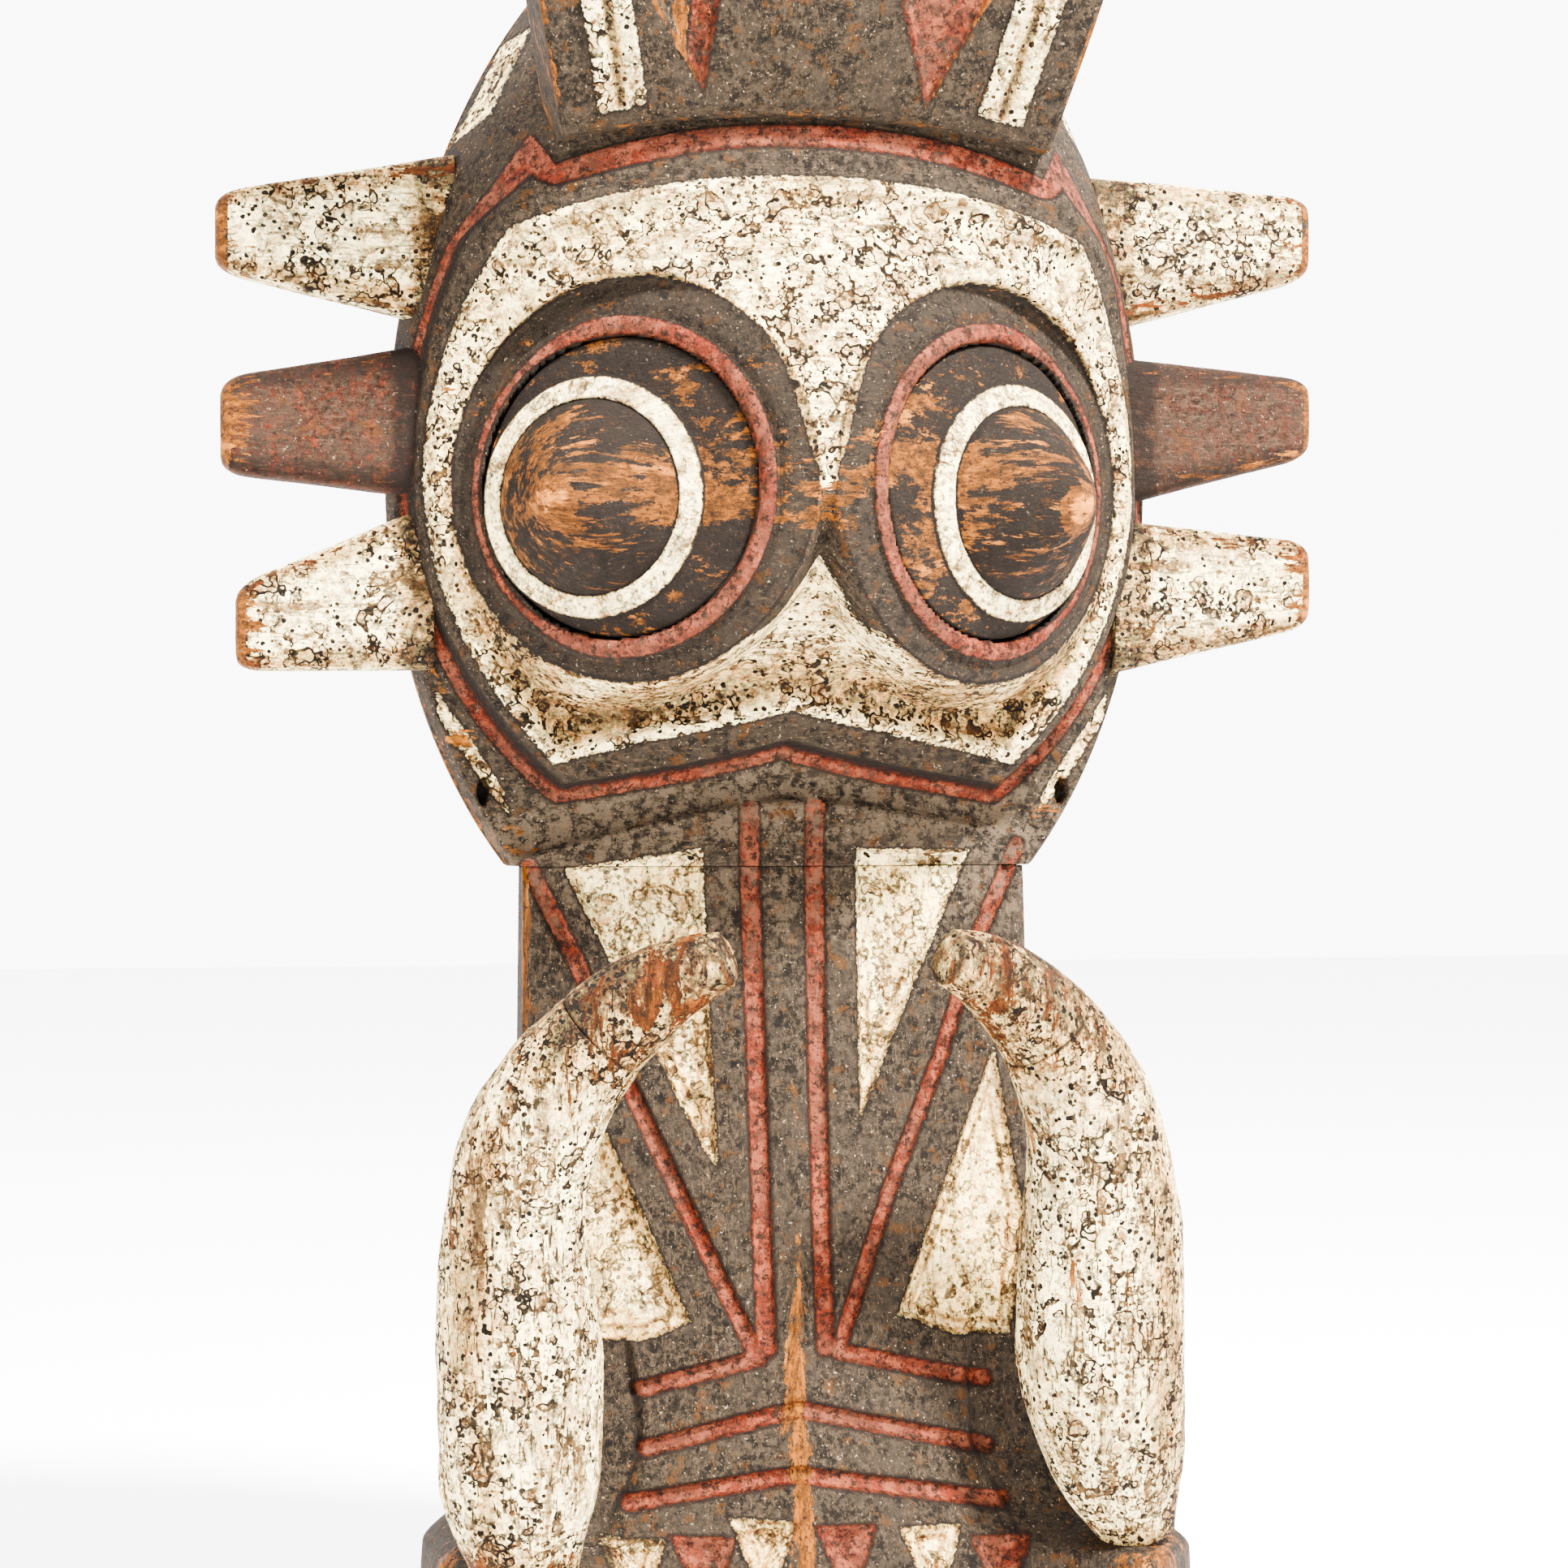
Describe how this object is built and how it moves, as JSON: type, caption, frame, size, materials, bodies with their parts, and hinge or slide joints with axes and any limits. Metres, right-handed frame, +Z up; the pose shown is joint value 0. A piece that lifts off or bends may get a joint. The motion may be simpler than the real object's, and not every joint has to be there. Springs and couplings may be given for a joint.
{
  "type": "carved wooden mask",
  "caption": "Tall carved and painted wooden animal mask with domed eyes, side spikes, a leaning eared crest, a long muzzle and curved tusks, hollow behind the face.",
  "frame": {"origin": "hanging point: on the flat back of the forehead, on the middle line, 150 mm above the eye line", "axes": "+Z up along the mask, the face looks towards -Y, +Y points out of the flat back, +X is to the right as one looks at the face"},
  "size_m": [0.45, 0.1606, 0.804],
  "materials": {
    "head_paint": "aged matt earth pigment on carved wood: black ground, cream border and brow, terracotta line",
    "crest_paint": "aged matt black pigment with cream stripes and terracotta recesses, bare wood on worn edges",
    "muzzle_paint": "aged matt black pigment with cream and terracotta carved triangles and lines, worn keel",
    "eye_paint": "black pigment worn through to polished orange-brown wood, cream ring",
    "cream_paint": "crusty cream pigment with dark specks and ochre stains",
    "red_paint": "dark terracotta pigment, worn to bare wood at the end",
    "tusk_paint": "thick cream pigment with ochre stains and lengthwise brown streaks",
    "bare_wood": "plain oiled dowel"
  },
  "bodies": {
    "root": {"crest": "crest_paint", "crest_peg_left": "bare_wood", "crest_peg_right": "bare_wood", "eye_left": "eye_paint", "eye_peg_left": "bare_wood", "eye_peg_right": "bare_wood", "eye_right": "eye_paint", "face_shell": "head_paint", "muzzle": "muzzle_paint", "muzzle_peg_left": "bare_wood", "muzzle_peg_right": "bare_wood", "spike_left_lower": "cream_paint", "spike_left_middle": "red_paint", "spike_left_upper": "cream_paint", "spike_peg_left_lower": "bare_wood", "spike_peg_left_middle": "bare_wood", "spike_peg_left_upper": "bare_wood", "spike_peg_right_lower": "bare_wood", "spike_peg_right_middle": "bare_wood", "spike_peg_right_upper": "bare_wood", "spike_right_lower": "cream_paint", "spike_right_middle": "red_paint", "spike_right_upper": "cream_paint", "tusk_foot_peg_left": "bare_wood", "tusk_foot_peg_right": "bare_wood", "tusk_left": "tusk_paint", "tusk_right": "tusk_paint", "tusk_tip_left": "tusk_paint", "tusk_tip_peg_left": "bare_wood", "tusk_tip_peg_right": "bare_wood", "tusk_tip_right": "tusk_paint"}
  },
  "joints": []
}
